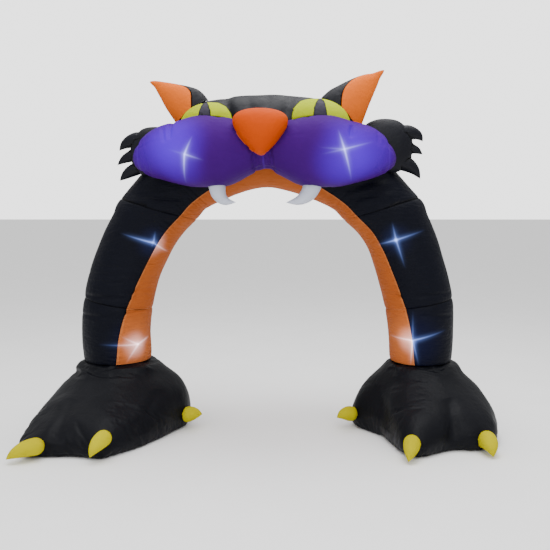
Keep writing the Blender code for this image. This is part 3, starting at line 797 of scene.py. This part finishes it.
def taffeta(name):
    """The material of one cloth, made on first use."""
    if name in bpy.data.materials:
        return bpy.data.materials[name]
    cloth = FINISHES[name]
    material = bpy.data.materials.new(name)
    material.use_nodes = True
    tree = material.node_tree
    shader = tree.nodes["Principled BSDF"]
    shader.inputs["Roughness"].default_value = cloth.roughness
    shader.inputs["IOR"].default_value = POLYESTER_IOR
    shader.inputs["Specular IOR Level"].default_value = cloth.shine
    where = add(tree, "TexCoord").outputs["Object"]

    patch = add(tree, "TexNoise", {
        "Vector": where, "Scale": 1 / PATCH_SIZE, "Detail": 6, "Roughness": 0.65,
    })
    dyes = {0: patch.outputs[0], 6: linear(cloth.colour), 7: linear(cloth.shade)}
    dyed = add(tree, "Mix", dyes, data_type="RGBA")
    # Near a seam the colour turns to the finish's seam colour: painted shade in the seam's groove on most
    # cloths, a painted highlight along the seam on the orange, nose and purple cloth.
    seam = add(tree, "Attribute", attribute_name="seam").outputs["Fac"]
    sewn = add(tree, "Mix", {0: seam, 6: dyed.outputs[2], 7: linear(cloth.seam)}, data_type="RGBA")
    tree.links.new(sewn.outputs[2], shader.inputs["Base Color"])

    crinkle = add(tree, "TexNoise", {
        "Vector": where, "Scale": 1 / CRINKLE_SIZE, "Detail": 4, "Distortion": 0.6,
    })
    bump = add(tree, "Bump", {"Height": crinkle.outputs[0], "Strength": 0.5, "Distance": CRINKLE_DEPTH})
    if cloth.creases:
        flat = (1 / CREASE_LENGTH, 1 / CREASE_LENGTH, 1 / CREASE_HEIGHT)
        squeezed = add(tree, "Mapping", {"Vector": where, "Scale": flat}).outputs[0]
        crease = add(tree, "TexNoise", {
            "Vector": squeezed, "Scale": 1.0, "Detail": 3, "Distortion": 0.4,
        })
        bump = add(tree, "Bump", {
            "Height": crease.outputs[0], "Strength": cloth.creases, "Distance": CREASE_DEPTH,
            "Normal": bump.outputs[0],
        })
    for axis in "XYZ":
        wave = {"Vector": where, "Scale": WAVE_LENGTH / RIB_SPACING}
        ribs = add(tree, "TexWave", wave, bands_direction=axis)
        bump = add(tree, "Bump", {
            "Height": ribs.outputs["Fac"], "Strength": RIB_STRENGTH, "Distance": RIB_DEPTH,
            "Normal": bump.outputs[0],
        })
    tree.links.new(bump.outputs[0], shader.inputs["Normal"])

    glow = cloth.glow
    if glow:
        light = None
        for led in glow.leds:
            ways = ((glow.glint, glow.glint_power), (glow.halo, glow.halo_power))
            for strength, (colour, power) in zip(led_light(tree, where, led, glow.bloom), ways):
                tint = Vector(linear(colour)[:3]) * power
                shone = add(tree, "VectorMath", {0: tint, "Scale": strength}, operation="SCALE").outputs[0]
                if light is not None:
                    shone = add(tree, "VectorMath", {0: light, 1: shone}, operation="ADD").outputs[0]
                light = shone
        tree.links.new(light, shader.inputs["Emission Color"])
        shader.inputs["Emission Strength"].default_value = 1.0
    return material


# %% [markdown]
# ## Make every piece
#
# A table says how each kind of piece is sewn and how finely it is rounded. bend is the angle in
# degrees past which an edge is a seam, and voxel is the size of square in which the loose bags
# are simulated. The tube's panels get extra rings for their puckers.

# %% Inflate the pieces
Piece = namedtuple("Piece", "cloth sewing bend levels voxel", defaults=(None,))
PIECES = {
    "leg_": Piece("black_lit_taffeta", "tube", 35, 2),
    "crown": Piece("black_lit_taffeta", "tube", 35, 2),
    "strip_": Piece("orange_taffeta", "tube", 35, 2),
    "soffit": Piece("orange_taffeta", "tube", 35, 2),
    "head": Piece("black_satin_taffeta", "head", 40, 3),
    "muzzle": Piece("purple_taffeta", "muzzle", 40, 3, 0.012),
    "nose": Piece("nose_orange_taffeta", "small", 45, 3),
    "eye_": Piece("lime_taffeta", "eye", 40, 3),
    "pupil_": Piece("grey_taffeta", "eye", 40, 2),
    "ear_front_": Piece("ear_orange_taffeta", "small", 50, 3),
    "ear_back_": Piece("black_satin_taffeta", "small", 50, 3),
    "tuft_": Piece("black_satin_taffeta", "small", 50, 2),
    "fang_": Piece("white_taffeta", "horn", 60, 3),
    "paw_": Piece("black_taffeta", "paw", 50, 3, 0.012),
    "claw_": Piece("yellow_taffeta", "horn", 60, 3),
}
MUZZLE_END_SEAM = 0.765
EXTRA_SEAMS = {
    "muzzle": [(at(x, 0, 0), Vector((1, 0, 0))) for x in (-MUZZLE_END_SEAM, 0, MUZZLE_END_SEAM)],
}
EVEN_RIMS = ("nose", "eye_", "head")
SHARP = radians(60)


def inflate(node):
    """The sewn, blown-up cloth that stands in for one plain solid."""
    piece = next(row for start, row in PIECES.items() if node.startswith(start))
    in_tube = piece.sewing == "tube"
    obj = sewn_copy(node + "_cloth", node, piece.bend, node.startswith(EVEN_RIMS))
    round_off(obj, piece.levels)
    if piece.sewing == "paw":
        hem_to_leg(obj, node.split("_")[1])
    if in_tube:
        cut_rings(obj)
    tree = seam_tree(obj, piece.bend, EXTRA_SEAMS.get(node, ()))
    if node == "head":
        tuck_in(obj)
    if piece.voxel:
        blow_up(obj, tree, piece.voxel)
    draw_in(obj, tree, SEWING[piece.sewing], in_tube)
    press_folds(obj, FOLDS.get(node, ()))
    obj.data.shade_smooth()
    if in_tube:
        obj.data.set_sharp_from_angle(angle=SHARP)
    obj.data.materials.clear()
    obj.data.materials.append(taffeta(piece.cloth))
    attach(obj, "root")
    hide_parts(node)
    return obj


made = [inflate(node) for node in SLOTS]
triangles = sum(len(face.vertices) - 2 for obj in made for face in obj.data.polygons)
print(len(made), "pieces of cloth,", triangles, "triangles")

# %% [markdown]
# ## Floor finish
#
# The floor is plain, pale and matt, a little mottled so that it isn't a flat colour.

# %% Floor material
paper = bpy.data.materials.new("pale_floor_paint")
paper.use_nodes = True
paper_tree = paper.node_tree
paper_shader = paper_tree.nodes["Principled BSDF"]
paper_shader.inputs["Roughness"].default_value = 0.9
paper_place = add(paper_tree, "TexCoord").outputs["Object"]
paper_noise = add(paper_tree, "TexNoise", {"Vector": paper_place, "Scale": 2.0, "Detail": 4})
paper_tones = {0: paper_noise.outputs[0], 6: linear("f6f6f6"), 7: linear("f0f0f0")}
paper_mix = add(paper_tree, "Mix", paper_tones, data_type="RGBA")
paper_tree.links.new(paper_mix.outputs[2], paper_shader.inputs["Base Color"])
floor.data.materials.append(paper)
